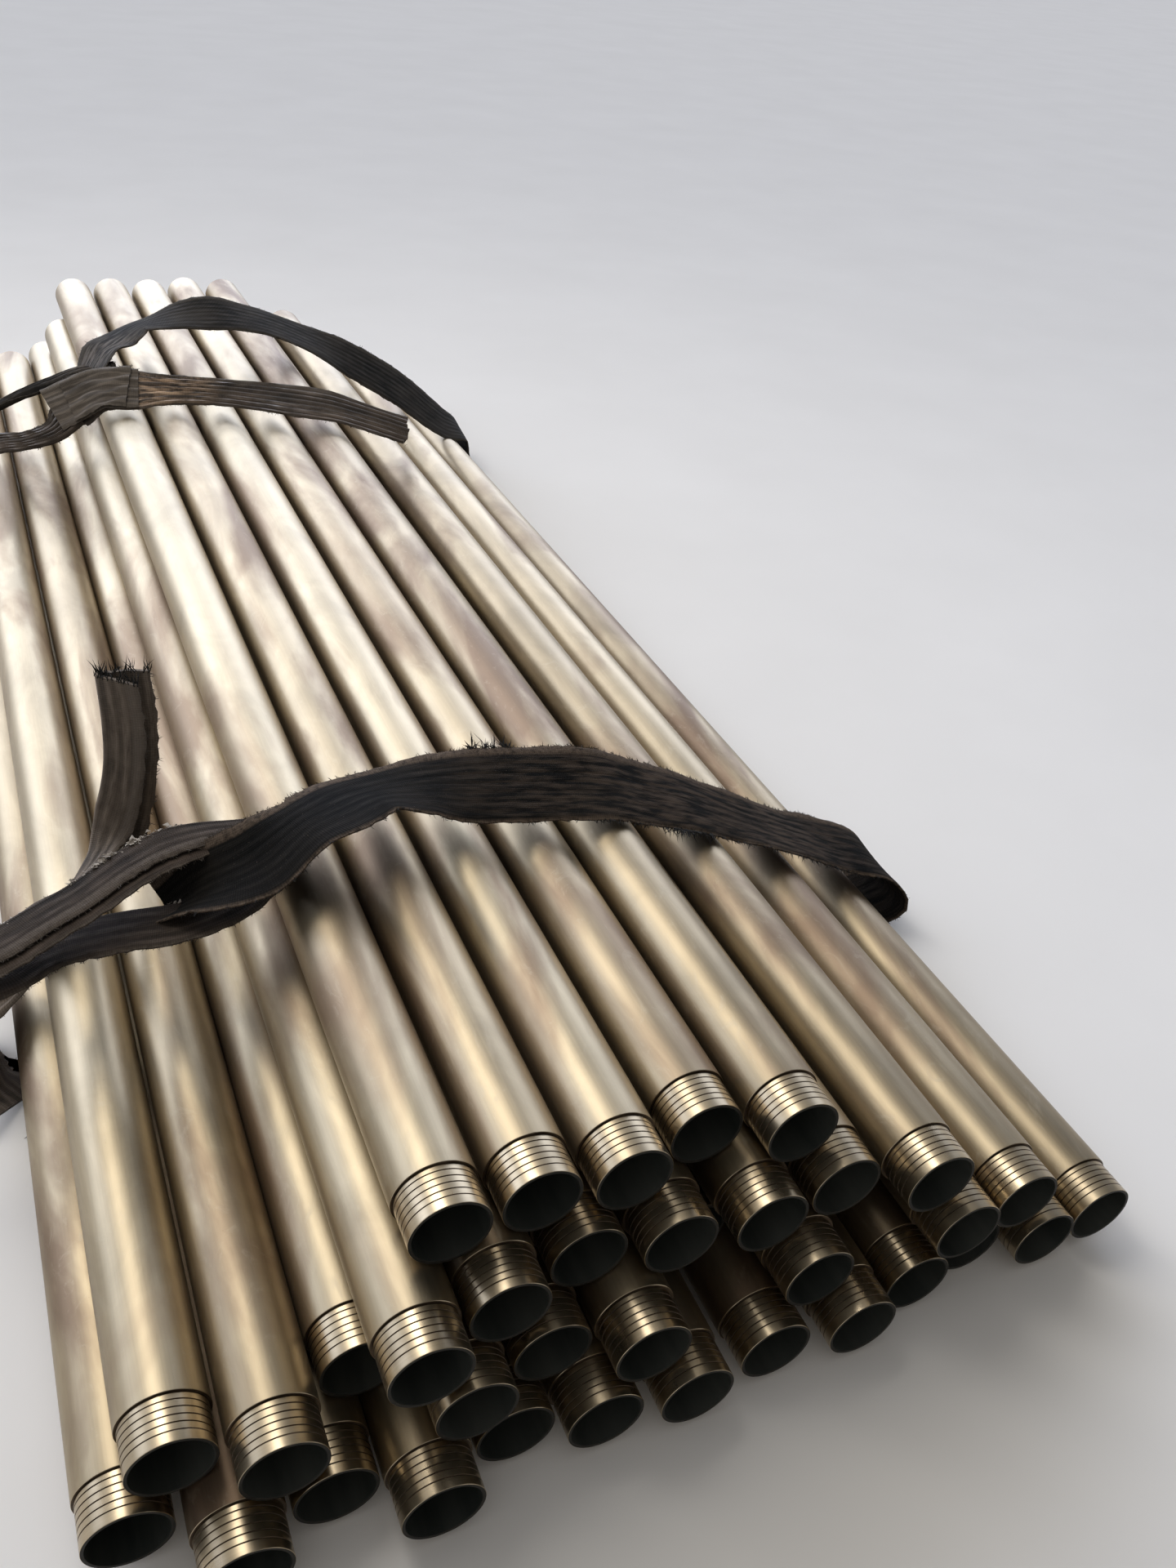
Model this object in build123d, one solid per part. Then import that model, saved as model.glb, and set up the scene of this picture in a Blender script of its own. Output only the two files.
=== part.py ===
from build123d import *
import os
from math import cos, hypot, radians, sin, sqrt

# Bundle of threaded steel pipes in four nested layers, held by two flat webbing slings.
# X runs across the bundle, Y along the pipes towards their plain ends, Z up. Millimetres.

# Steel pipe
PIPE_OD = 88.9
PIPE_WALL = 6.35
PIPE_LENGTH = 3050.0

# Male thread turned on the near end: its crests lie this far below the outside
PIN_DROP = 2.6
PIN_LENGTH = 47.0

# Clearance left between round surfaces that touch
TOUCH = 0.3

# Clear gaps between the pipes of the bottom layer, from left to right
BOTTOM_GAPS = [5, 1, TOUCH, TOUCH, TOUCH, 10, 13, 15, TOUCH, TOUCH, TOUCH, TOUCH]

# Each upper layer starts in this groove of the layer below it
SECOND_FIRST_GROOVE = 0
THIRD_FIRST_GROOVE = 2
TOP_FIRST_GROOVE = 0

# How far each near end stands back from the front of the bundle
BOTTOM_SETBACKS = [80, 10, 50, 0, 45, 25, 15, 30, 20, 45, 65, 40, 45]
SECOND_SETBACKS = [90, 50, 120, 40, 70, 35, 150, 50, 150, 40, 50]
THIRD_SETBACKS = [45, 80, 110, 95, 85, 95, 60]
TOP_SETBACKS = [130, 135, 130, 160, 125]

# Webbing of the slings, flat and folded lengthwise into an eye
WEB_WIDTH = 125.0
WEB_THICKNESS = 7.0
EYE_WIDTH = 64.0
EYE_THICKNESS = 13.0

# Slings, from the front of the bundle and from the far end of the pipes
NEAR_SLING_INSET = 690.0
FAR_SLING_INSET = 510.0

pipe_radius = PIPE_OD / 2


def nest(left, right):
    """Centre of a pipe that rests on two others."""
    across = right[0] - left[0]
    up = right[1] - left[1]
    apart = hypot(across, up)
    rise = sqrt((PIPE_OD + TOUCH) ** 2 - (apart / 2) ** 2)
    middle_x = (left[0] + right[0]) / 2
    middle_z = (left[1] + right[1]) / 2
    return (middle_x - up / apart * rise, middle_z + across / apart * rise)


def layer_on(below, first_groove, count):
    """Centres of the pipes that lie in neighbouring grooves of the layer below."""
    grooves = range(first_groove, first_groove + count)
    return [nest(below[i], below[i + 1]) for i in grooves]


def bottom_layer():
    """Centres of the pipes that lie on the slings."""
    centres = [(0.0, WEB_THICKNESS + TOUCH + pipe_radius)]
    for gap in BOTTOM_GAPS:
        x, z = centres[-1]
        centres.append((x + PIPE_OD + gap, z))
    return centres


bottom = bottom_layer()
second = layer_on(bottom, SECOND_FIRST_GROOVE, len(SECOND_SETBACKS))
third = layer_on(second, THIRD_FIRST_GROOVE, len(THIRD_SETBACKS))
top = layer_on(third, TOP_FIRST_GROOVE, len(TOP_SETBACKS))
layers = {
    "bottom": (bottom, BOTTOM_SETBACKS),
    "second": (second, SECOND_SETBACKS),
    "third": (third, THIRD_SETBACKS),
    "top": (top, TOP_SETBACKS),
}
pile_width = bottom[-1][0] - bottom[0][0]
pile_height = max(z for _, z in top) + pipe_radius


def pipe():
    """One pipe along Y from its threaded mouth at the origin."""
    bore = pipe_radius - PIPE_WALL
    pin = pipe_radius - PIN_DROP
    outline = Polyline(
        (bore, 0),
        (pin, 0),
        (pin, PIN_LENGTH),
        (pipe_radius, PIN_LENGTH),
        (pipe_radius, PIPE_LENGTH),
        (bore, PIPE_LENGTH),
        close=True,
    )
    return revolve(make_face(outline), Axis.Y)


def pipes():
    """Every pipe of the pile, by name."""
    one = pipe()
    found = {}
    for layer, (centres, setbacks) in layers.items():
        for number, ((x, z), setback) in enumerate(zip(centres, setbacks), 1):
            found[f"{layer}_pipe_{number:02d}"] = Pos(x, setback, z) * one
    return found


def taut_line():
    """Route of a strap pulled tight over the pile, as a hull of points round every pipe."""
    clear = pipe_radius + TOUCH + WEB_THICKNESS / 2
    points = []
    for centres, _ in layers.values():
        for x, z in centres:
            points += [(x + clear * sin(radians(a)), z + clear * cos(radians(a))) for a in range(-90, 91, 5)]
    hull = []
    for x, z in sorted(points):
        while len(hull) > 1:
            (x1, z1), (x2, z2) = hull[-2:]
            if (x2 - x1) * (z - z1) < (z2 - z1) * (x - x1):
                break
            hull.pop()
        hull.append((x, z))
    return hull


taut = taut_line()


def section_size(fold):
    """Width and thickness of the webbing, from 0 for flat to 1 for folded lengthwise."""
    width = WEB_WIDTH + fold * (EYE_WIDTH - WEB_WIDTH)
    thickness = WEB_THICKNESS + fold * (EYE_THICKNESS - WEB_THICKNESS)
    return width, thickness


def over(share, y, lift, tilt=0, fold=0):
    """Station over the pile: share of its width, distance along it and lift off the taut line."""
    x = share * pile_width
    for (x1, z1), (x2, z2) in zip(taut, taut[1:]):
        if x1 <= x <= x2 and x2 > x1:
            z = z1 + (z2 - z1) * (x - x1) / (x2 - x1)
    return (x, y, z + lift, tilt, *section_size(fold))


def held(share, y, height, tilt=0, fold=1):
    """Station that hangs free: shares of the pile's width and height."""
    return (share * pile_width, y, height * pile_height, tilt, *section_size(fold))


def beside(side, bulge, y, height, tilt=0, fold=0):
    """Station left (-1) or right (1) of the pile, its height as a share of a pipe."""
    edge = bottom[0][0] if side < 0 else bottom[-1][0]
    reach = pipe_radius + TOUCH + WEB_THICKNESS / 2 + bulge
    z = WEB_THICKNESS / 2 + height * PIPE_OD
    return (edge + side * reach, y, z, tilt, *section_size(fold))


def floor(x, y):
    """Station on the floor at an end of the under-run."""
    return (x, y, WEB_THICKNESS / 2, 0, *section_size(0))


def ribbon(stations, start_along):
    """Webbing along a route, as flat facets between its cross sections."""
    centres = [Vector(x, y, max(z, thickness / 2)) for x, y, z, _, _, thickness in stations]
    sections = []
    for i, (_, _, _, tilt, width, thickness) in enumerate(stations):
        before, after = centres[max(i - 1, 0)], centres[min(i + 1, len(centres) - 1)]
        along = start_along if i == 0 else (after - before).normalized()
        level = (Vector(0, 1, 0) - along * along.Y).normalized()
        across = level.rotate(Axis((0, 0, 0), along), tilt) * (width / 2)
        up = along.cross(across).normalized() * (thickness / 2)
        middle = centres[i]
        sections.append([middle - across - up, middle + across - up, middle + across + up, middle - across + up])
    faces = [corner_face(*sections[0]), corner_face(*sections[-1])]
    for one, two in zip(sections, sections[1:]):
        for k in range(4):
            n = (k + 1) % 4
            faces += [corner_face(one[k], one[n], two[n]), corner_face(one[k], two[n], two[k])]
    return Solid(Shell(faces))


def corner_face(*corners):
    """Flat face with these corners."""
    return Face(Wire.make_polygon(corners))


def under_run(y):
    """Straight stretch of a sling below the pile, with the x of its two ends."""
    left = bottom[0][0] - pipe_radius
    right = bottom[-1][0] + pipe_radius
    strip = Box(right - left, WEB_WIDTH, WEB_THICKNESS, align=(Align.MIN, Align.CENTER, Align.MIN))
    return Pos(left, y, 0) * strip, left, right


def near_sling():
    """Sling near the threaded ends: an open eye over the left and a stub that stands up."""
    y = NEAR_SLING_INSET
    strip, left, right = under_run(y)
    stub = ribbon([
        floor(left, y),
        beside(-1, 20, y + 5, 0.2),
        beside(-1, 22, y + 15, 0.6),
        beside(-1, 12, y + 35, 1.05, fold=0.2),
        over(-0.028, y + 62, 40, fold=0.5),
        over(0.015, y + 92, 28, fold=0.8),
        over(0.055, y + 130, 18, fold=1),
        over(0.085, y + 158, 16, 25, fold=1),
        over(0.103, y + 176, 22, 65, fold=1),
        over(0.112, y + 180, 50, 85, fold=1),
        over(0.122, y + 180, 105, 88, fold=1),
        over(0.134, y + 182, 165, 92, fold=1),
        over(0.146, y + 188, 222, 95, fold=1),
    ], Vector(-1, 0, 0))
    body = ribbon([
        floor(right, y),
        beside(1, 67, y - 20, 0.47),
        beside(1, 42, y - 8, 0.97, -3),
        over(1.005, y + 5, 27, -6),
        over(0.942, y, 24, -2),
        over(0.870, y - 4, 22, -5),
        over(0.811, y - 4, 20, -8),
        over(0.755, y - 8, 21, -9),
        over(0.697, y - 12, 20, -12),
        over(0.635, y - 15, 22, -15),
        over(0.570, y - 8, 28, -16),
        over(0.485, y - 2, 38, -12),
        over(0.424, y + 8, 40, 0),
        over(0.359, y + 2, 44, 8),
        over(0.291, y - 35, 40, 4),
        over(0.228, y - 52, 55, -8),
        over(0.157, y - 50, 86, -4),
    ], Vector(1, 0, 0))
    eye = ribbon([
        held(0.270, y - 5, 1.098),
        held(0.228, y - 2, 1.072),
        held(0.179, y + 12, 1.050),
        held(0.146, y + 14, 1.032),
        held(0.101, y - 1, 1.003),
        held(0.057, y - 24, 0.966),
        held(0.014, y - 40, 0.932),
        held(-0.025, y - 60, 0.912),
        held(-0.066, y - 74, 0.900),
        held(-0.083, y - 76, 0.868),
        held(-0.066, y - 76, 0.835),
        held(-0.031, y - 72, 0.822),
        held(0.006, y - 48, 0.820),
        held(0.044, y - 42, 0.828),
        held(0.081, y - 47, 0.843),
        held(0.156, y - 62, 0.876),
        held(0.197, y - 60, 0.905),
        held(0.230, y - 48, 0.945),
        held(0.262, y - 42, 1.010),
        held(0.285, y - 40, 1.085),
    ], Vector(-1, 0, 0))
    return strip + stub + body + eye


def far_sling():
    """Sling near the plain ends: one eye hangs on the left, the other lies across the top."""
    y = PIPE_LENGTH - FAR_SLING_INSET
    strip, left, right = under_run(y)
    arch = ribbon([
        floor(right, y),
        beside(1, 54, y + 10, 0.42),
        beside(1, 42, y + 15, 0.92, -4),
        over(1.015, y + 15, 36, -10),
        over(0.898, y + 8, 44, -28),
        over(0.793, y + 5, 51, -28),
        over(0.700, y, 58, -14),
        over(0.582, y, 76, -12),
        over(0.500, y + 3, 88, -18),
        over(0.434, y, 82, -8),
        over(0.366, y + 3, 63, 4),
        over(0.298, y - 10, 42, -2, fold=0.3),
        over(0.228, y - 10, 26, 0, fold=0.8),
        over(0.170, y - 12, 20, 12, fold=1),
        over(0.115, y - 20, 22, 22, fold=1),
        over(0.050, y - 35, 30, 28, fold=1),
        over(-0.020, y - 42, 84, 20, fold=1),
        beside(-1, 60, y - 40, 1.55, 8, fold=1),
        beside(-1, 76, y - 36, 0.95, fold=1),
        beside(-1, 78, y - 34, 0.40, fold=1),
    ], Vector(1, 0, 0))
    lying = ribbon([
        floor(left, y),
        beside(-1, 14, y, 0.35),
        beside(-1, 12, y - 30, 1.0),
        held(-0.018, y - 130, 0.500, 5, fold=0.2),
        held(0.027, y - 190, 0.640, 10, fold=0.3),
        held(0.066, y - 232, 0.750, 15, fold=0.2),
        held(0.108, y - 246, 0.840, 25, fold=0),
        held(0.155, y - 250, 0.915, 24, fold=0),
        held(0.250, y - 290, 1.072, 20, fold=0),
        held(0.310, y - 315, 1.094, 20, fold=0),
        held(0.355, y - 322, 1.090, 18, fold=0.4),
        held(0.403, y - 332, 1.083, 16, fold=0.65),
        held(0.502, y - 370, 1.076, 14, fold=0.5),
        held(0.569, y - 410, 1.072, 14, fold=0.35),
        held(0.639, y - 452, 1.062, 14, fold=0.25),
        held(0.705, y - 480, 1.010, 15, fold=0.25),
        held(0.778, y - 503, 0.930, 15, fold=0.25),
    ], Vector(-1, 0, 0))
    return strip + arch + lying


def build():
    """Every piece by name, with the origin below the middle of the bundle."""
    pieces = pipes()
    pieces["near_sling"] = near_sling()
    pieces["far_sling"] = far_sling()
    solids = [solid for piece in pieces.values() for solid in piece.solids()]
    middle = Compound(solids).bounding_box().center()
    return {name: Pos(-middle.X, -middle.Y, 0) * piece for name, piece in pieces.items()}


pieces = build()
os.makedirs("parts", exist_ok=True)
for name, piece in pieces.items():
    export_step(piece, f"parts/{name}.step")
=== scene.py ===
import random
from collections import namedtuple
from math import cos, pi, radians, sin

import bmesh
import bpy
import numpy as np
from mathutils import Matrix, Vector


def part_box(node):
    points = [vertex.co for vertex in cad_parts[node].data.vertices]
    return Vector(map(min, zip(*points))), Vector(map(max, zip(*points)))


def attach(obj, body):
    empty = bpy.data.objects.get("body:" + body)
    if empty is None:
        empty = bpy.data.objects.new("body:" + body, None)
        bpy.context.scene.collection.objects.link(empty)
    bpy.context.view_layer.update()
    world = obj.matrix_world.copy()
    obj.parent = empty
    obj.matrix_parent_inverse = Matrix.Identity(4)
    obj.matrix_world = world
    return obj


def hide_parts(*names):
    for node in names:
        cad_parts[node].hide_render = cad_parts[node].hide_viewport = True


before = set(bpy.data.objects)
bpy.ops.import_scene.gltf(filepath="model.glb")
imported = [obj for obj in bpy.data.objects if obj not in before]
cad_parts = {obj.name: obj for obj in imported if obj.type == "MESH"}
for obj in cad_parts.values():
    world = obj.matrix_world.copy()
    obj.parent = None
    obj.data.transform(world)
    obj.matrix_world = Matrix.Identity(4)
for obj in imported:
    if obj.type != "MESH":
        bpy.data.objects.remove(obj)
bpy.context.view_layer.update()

MM = 0.001

# Pipe ends, in metres
PIPE_RADIUS = 44.45 * MM
BORE_RADIUS = 38.1 * MM
PIN_RADIUS = 41.85 * MM
PIN_LENGTH = 47 * MM
THREAD_PITCH = 7.4 * MM
THREAD_DEPTH = 0.8 * MM
THREAD_FADE = 3 * MM
GROOVE_WIDTH = 1.5 * MM
GROOVE_FLOOR = 0.6 * MM
FIRST_LAND = 8.5 * MM
RELIEF_WIDTH = 1.6 * MM
RELIEF_DEPTH = 1.0 * MM
EDGE_BREAK = 0.4 * MM
BOX_RADIUS = 41.6 * MM
BOX_DEPTH = 50 * MM
SIDES = 96
WELD = 1e-6

# Webbing of the slings
WEB_WIDTH = 125 * MM
NEAR_SLING_INSET = 690 * MM
FAR_SLING_INSET = 510 * MM
RIBS = 8
RIB_HEIGHT = 0.5 * MM
CREASE = 0.12

# Weave in the material: weft rows in a length equal to the width, and yarns in a rib
WEFTS = 52
RIB_YARNS = 5

# Webbing, in millimetres: full width, thickness, its middle's height over a pipe and over the floor, the
# lowest that any point of it goes, and the step of its rings
FULL = WEB_WIDTH / MM
RIBBON_THICKNESS = 6.2
PATCH_THICKNESS = 4.5
OVER_PIPE = 3.8
OVER_FLOOR = 3.5
LOWEST = 0.2
RING_STEP = 9.0

# Gathers across the webbing: their number, and how flat they stay
WAVES = 1.75
GATHER_FLATNESS = 11

# Rings that a torn end and a slanting end reach back over
TORN_RINGS = 5
SLANT_RINGS = 8

pipe_names = sorted(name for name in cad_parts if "_pipe_" in name)


# Camera, where the photograph was taken from, with its right, up and back directions
CAMERA_PLACE = Vector((-0.4989, -2.1788, 1.3243))
CAMERA_TURN = (
    Vector((0.91273, -0.39982, 0.08408)),
    Vector((0.16768, 0.55425, 0.81529)),
    Vector((-0.37257, -0.73004, 0.57292)),
)
LENS = 30.15
SENSOR = 36


def make_camera():
    camera = bpy.data.objects.new("camera", bpy.data.cameras.new("camera"))
    bpy.context.scene.collection.objects.link(camera)
    turn = Matrix(CAMERA_TURN).transposed().to_4x4()
    camera.matrix_world = Matrix.Translation(CAMERA_PLACE) @ turn
    camera.data.lens = LENS
    camera.data.sensor_width = SENSOR
    camera.data.sensor_fit = "AUTO"
    camera.data.clip_end = 100
    bpy.context.scene.camera = camera


make_camera()


# Helpers for node materials
class Shader:
    """A node material with its Principled shader, and short calls that add nodes."""

    def __init__(self, name):
        self.material = bpy.data.materials.new(name)
        self.material.use_nodes = True
        self.nodes = self.material.node_tree.nodes
        self.links = self.material.node_tree.links
        self.main = self.nodes["Principled BSDF"]
        self.place = self.nodes.new("ShaderNodeTexCoord").outputs["Object"]

    def set(self, **values):
        for name, value in values.items():
            self.main.inputs[name.replace("_", " ")].default_value = value

    def join(self, source, target):
        self.links.new(source, target)

    def into(self, source, name):
        self.links.new(source, self.main.inputs[name])

    def mapped(self, scale, source=None, place=(0, 0, 0)):
        node = self.nodes.new("ShaderNodeMapping")
        node.inputs["Scale"].default_value = scale
        node.inputs["Location"].default_value = place
        self.join(source or self.place, node.inputs["Vector"])
        return node.outputs["Vector"]

    def noise(self, scale, detail=4, rough=0.55, vector=None, distortion=0.0):
        node = self.nodes.new("ShaderNodeTexNoise")
        node.inputs["Scale"].default_value = scale
        node.inputs["Detail"].default_value = detail
        node.inputs["Roughness"].default_value = rough
        node.inputs["Distortion"].default_value = distortion
        self.join(vector or self.place, node.inputs["Vector"])
        return node.outputs["Fac"]

    def ramp(self, source, *stops):
        node = self.nodes.new("ShaderNodeValToRGB")
        ramp = node.color_ramp
        while len(ramp.elements) < len(stops):
            ramp.elements.new(0.5)
        for element, (place, value) in zip(ramp.elements, stops):
            element.position = place
            plain = isinstance(value, (int, float))
            element.color = (value, value, value, 1) if plain else (*value, 1)
        self.join(source, node.inputs["Fac"])
        return node.outputs["Color"]

    def mix(self, factor, a, b, kind="MIX"):
        node = self.nodes.new("ShaderNodeMix")
        node.data_type = "RGBA"
        node.blend_type = kind
        for name, value in (("Factor", factor), ("A", a), ("B", b)):
            socket = node.inputs[name]
            if isinstance(value, (int, float)):
                socket.default_value = value
            elif isinstance(value, tuple):
                socket.default_value = (*value, 1)
            else:
                self.join(value, socket)
        return node.outputs["Result"]

    def math(self, kind, a, b=0.0):
        node = self.nodes.new("ShaderNodeMath")
        node.operation = kind
        for socket, value in zip(node.inputs, (a, b)):
            if isinstance(value, (int, float)):
                socket.default_value = value
            else:
                self.join(value, socket)
        return node.outputs["Value"]

    def bump(self, height, strength, distance, under=None):
        node = self.nodes.new("ShaderNodeBump")
        node.inputs["Strength"].default_value = strength
        node.inputs["Distance"].default_value = distance
        self.join(height, node.inputs["Height"])
        if under:
            self.join(under, node.inputs["Normal"])
        return node.outputs["Normal"]


# Bare rolled steel, in three tones so that no two neighbours look cut from one length
def steel_material(name, pale, brown, offset):
    s = Shader(name)
    wide = s.noise(1.0, 5, 0.55, s.mapped((7, 1.7, 7), place=(offset, offset, 0)), distortion=0.7)
    patches = s.ramp(wide, (0.47, 0), (0.62, 1))
    clouds = s.noise(1.0, 5, 0.6, s.mapped((13, 5, 13), place=(0, offset, offset)), distortion=0.8)
    dull = tuple(c * 0.78 for c in pale)
    warm = s.mix(s.ramp(clouds, (0.38, 0), (0.66, 1)), pale, dull)
    stained = s.mix(s.math("MULTIPLY", patches, 0.75), warm, brown)
    smear_noise = s.noise(1.0, 5, 0.72, s.mapped((30, 16, 30), place=(offset, 0, 0)), distortion=2.2)
    smears = s.ramp(smear_noise, (0.57, 0), (0.70, 1))
    worn = s.mix(s.math("MULTIPLY", smears, 0.22), stained, (0.58, 0.51, 0.39))
    specks = s.ramp(s.noise(150, 3, 0.8), (0.70, 0), (0.77, 1))
    spotted = s.mix(s.math("MULTIPLY", specks, 0.35), worn, (0.15, 0.10, 0.07))
    scratches = s.noise(1.0, 2, 0.5, s.mapped((420, 9, 420)))
    fine = s.ramp(scratches, (0.35, 0.93), (0.65, 1.0))
    s.into(s.mix(1.0, spotted, fine, "MULTIPLY"), "Base Color")
    rough = s.mix(patches, (0.41, 0.41, 0.41), (0.52, 0.52, 0.52))
    dusty = s.mix(s.math("MULTIPLY", smears, 0.6), rough, (0.58, 0.58, 0.58))
    s.into(s.mix(0.10, dusty, scratches), "Roughness")
    dents = s.bump(clouds, 0.10, 0.003)
    s.into(s.bump(scratches, 0.08, 0.0003, dents), "Normal")
    s.set(Metallic=1.0)
    return s.material


# Freshly turned steel of the threaded ends
def thread_material():
    s = Shader("turned_steel")
    rings = s.noise(1.0, 2, 0.5, s.mapped((6, 1100, 6)))
    tone = s.noise(1.0, 3, 0.5, s.mapped((22, 14, 22)))
    colour = s.mix(s.ramp(tone, (0.35, 0), (0.7, 1)), (0.56, 0.46, 0.315), (0.38, 0.31, 0.21))
    s.into(s.mix(1.0, colour, s.ramp(rings, (0.3, 0.88), (0.7, 1.0)), "MULTIPLY"), "Base Color")
    s.into(s.ramp(tone, (0.25, 0.25), (0.75, 0.36)), "Roughness")
    s.into(s.bump(rings, 0.06, 0.0002), "Normal")
    s.set(Metallic=1.0)
    return s.material


# Thread roots, undercuts and the socket's step, dark brown: painted shade in these recesses
def root_material():
    s = Shader("root_painted_shade")
    tone = s.noise(60, 3)
    s.into(s.ramp(tone, (0.3, (0.060, 0.042, 0.026)), (0.7, (0.15, 0.105, 0.066))), "Base Color")
    s.into(s.ramp(tone, (0.3, 0.4), (0.7, 0.6)), "Roughness")
    s.set(Metallic=0.7)
    return s.material


# The inside of the pipes: dark mill scale, with a greenish tint that is a painted reflection
def bore_material():
    s = Shader("bore_scale")
    tone = s.noise(1.0, 5, 0.65, s.mapped((16, 2, 16)))
    s.into(s.ramp(tone, (0.3, (0.035, 0.042, 0.038)), (0.7, (0.085, 0.088, 0.075))), "Base Color")
    s.into(s.ramp(tone, (0.3, 0.45), (0.7, 0.7)), "Roughness")
    s.into(s.bump(s.noise(400, 4, 0.7), 0.25, 0.0006), "Normal")
    s.set(Metallic=0.5)
    return s.material


# Sawn rims, nearly black: painted shade on the end faces
def rim_material():
    s = Shader("rim_painted_shade")
    tone = s.noise(120, 4, 0.6)
    s.into(s.ramp(tone, (0.3, (0.018, 0.018, 0.016)), (0.7, (0.045, 0.041, 0.033))), "Base Color")
    s.into(s.ramp(tone, (0.3, 0.5), (0.7, 0.7)), "Roughness")
    s.set(Metallic=0.7)
    return s.material


STEELS = [
    steel_material("steel_a", (0.425, 0.345, 0.228), (0.205, 0.135, 0.090), 0.0),
    steel_material("steel_b", (0.380, 0.306, 0.200), (0.178, 0.115, 0.080), 3.7),
    steel_material("steel_c", (0.462, 0.382, 0.258), (0.242, 0.166, 0.110), 8.1),
]
TURNED = thread_material()
ROOT = root_material()
BORE = bore_material()
RIM = rim_material()


def mesh_object(name, points, faces, slots, materials, angle=30):
    """Mesh with smooth faces, sharp over the angle, and each face's material slot."""
    mesh = bpy.data.meshes.new(name)
    mesh.from_pydata([tuple(p) for p in points], [], [tuple(int(i) for i in f) for f in faces])
    mesh.polygons.foreach_set("material_index", np.asarray(slots, dtype=np.int32))
    mesh.polygons.foreach_set("use_smooth", np.ones(len(faces), dtype=bool))
    for material in materials:
        mesh.materials.append(material)
    mesh.validate()
    mesh.set_sharp_from_angle(angle=radians(angle))
    thing = bpy.data.objects.new(name, mesh)
    bpy.context.scene.collection.objects.link(thing)
    return thing


# Pipes: one profile turned round each axis, whose thread rows run along a helix
BODY_SLOT, TURNED_SLOT, ROOT_SLOT, BORE_SLOT, RIM_SLOT = range(5)
Row = namedtuple("Row", "radius along deep slot start stop")


def thread_rows(start, stop, radius, into):
    """Rows of a helical groove that starts and stops at two planes."""
    turns = int((stop - start) / THREAD_PITCH)
    shape = [
        (-GROOVE_WIDTH / 2, 0, ROOT_SLOT),
        (-GROOVE_FLOOR / 2, 1, ROOT_SLOT),
        (GROOVE_FLOOR / 2, 1, ROOT_SLOT),
        (GROOVE_WIDTH / 2, 0, TURNED_SLOT),
    ]
    rows = []
    for turn in range(-1, turns + 1):
        for shift, deep, slot in shape:
            along = start + turn * THREAD_PITCH + shift
            rows.append(Row(radius, along, into * deep * THREAD_DEPTH, slot, start, stop))
    return rows


def plain_row(radius, along, slot):
    return Row(radius, along, 0.0, slot, None, None)


def pipe_rows(length):
    """The whole section of a pipe, from the mouth over the outside and back along the bore."""
    shoulder = PIN_LENGTH
    relief = shoulder - RELIEF_WIDTH
    root = PIN_RADIUS - RELIEF_DEPTH
    rows = [
        plain_row(BORE_RADIUS + EDGE_BREAK, 0, RIM_SLOT),
        plain_row(PIN_RADIUS - EDGE_BREAK, 0, TURNED_SLOT),
        plain_row(PIN_RADIUS, EDGE_BREAK, TURNED_SLOT),
    ]
    rows += thread_rows(FIRST_LAND, relief - GROOVE_WIDTH, PIN_RADIUS, -1)
    rows += [
        plain_row(PIN_RADIUS, relief, ROOT_SLOT),
        plain_row(root, relief + EDGE_BREAK, ROOT_SLOT),
        plain_row(root, shoulder, ROOT_SLOT),
        plain_row(PIPE_RADIUS - EDGE_BREAK, shoulder, TURNED_SLOT),
        plain_row(PIPE_RADIUS, shoulder + EDGE_BREAK, BODY_SLOT),
        plain_row(PIPE_RADIUS, length - EDGE_BREAK, TURNED_SLOT),
        plain_row(PIPE_RADIUS - EDGE_BREAK, length, RIM_SLOT),
        plain_row(BOX_RADIUS + EDGE_BREAK, length, TURNED_SLOT),
        plain_row(BOX_RADIUS, length - EDGE_BREAK, TURNED_SLOT),
        plain_row(BOX_RADIUS, length - BOX_DEPTH, ROOT_SLOT),
        plain_row(BORE_RADIUS, length - BOX_DEPTH, BORE_SLOT),
        plain_row(BORE_RADIUS, EDGE_BREAK, RIM_SLOT),
    ]
    return rows


def turned(rows, centre_x, centre_z, mouth_y):
    """Points, faces and slots of a closed turned section, welded where rows meet."""
    count = len(rows)
    points = []
    for i in range(SIDES + 1):
        turn = i / SIDES
        c, s = cos(2 * pi * turn), sin(2 * pi * turn)
        for radius, along, deep, slot, start, stop in rows:
            if start is not None:
                along += turn * THREAD_PITCH
                fade = min(1, max(0, (along - start) / THREAD_FADE), max(0, (stop - along) / THREAD_FADE))
                along = min(max(along, start), stop)
                radius += deep * fade
            points.append((centre_x + radius * c, mouth_y + along, centre_z + radius * s))
    points = np.array(points)
    keys = np.round(points / WELD).astype(np.int64)
    _, first, same = np.unique(keys, axis=0, return_index=True, return_inverse=True)
    same = same.reshape(-1)
    faces, slots = [], []
    for i in range(SIDES):
        for j in range(count):
            here, ahead = i * count, (i + 1) * count
            k = (j + 1) % count
            corners = [same[here + j], same[here + k], same[ahead + k], same[ahead + j]]
            loop = [corner for n, corner in enumerate(corners) if corner != corners[n - 1]]
            if len(set(loop)) == len(loop) and len(loop) > 2:
                faces.append(loop)
                slots.append(rows[j].slot)
    return points[first], faces, slots


def make_pipes():
    for number, name in enumerate(pipe_names):
        low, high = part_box(name)
        rows = pipe_rows(high.y - low.y)
        points, faces, slots = turned(rows, (low.x + high.x) / 2, (low.z + high.z) / 2, low.y)
        steel = STEELS[(number * 7 + number // 3) % 3]
        pipe = mesh_object(name + "_turned", points, faces, slots, [steel, TURNED, ROOT, BORE, RIM])
        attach(pipe, "root")
        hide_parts(name)


make_pipes()


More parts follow.
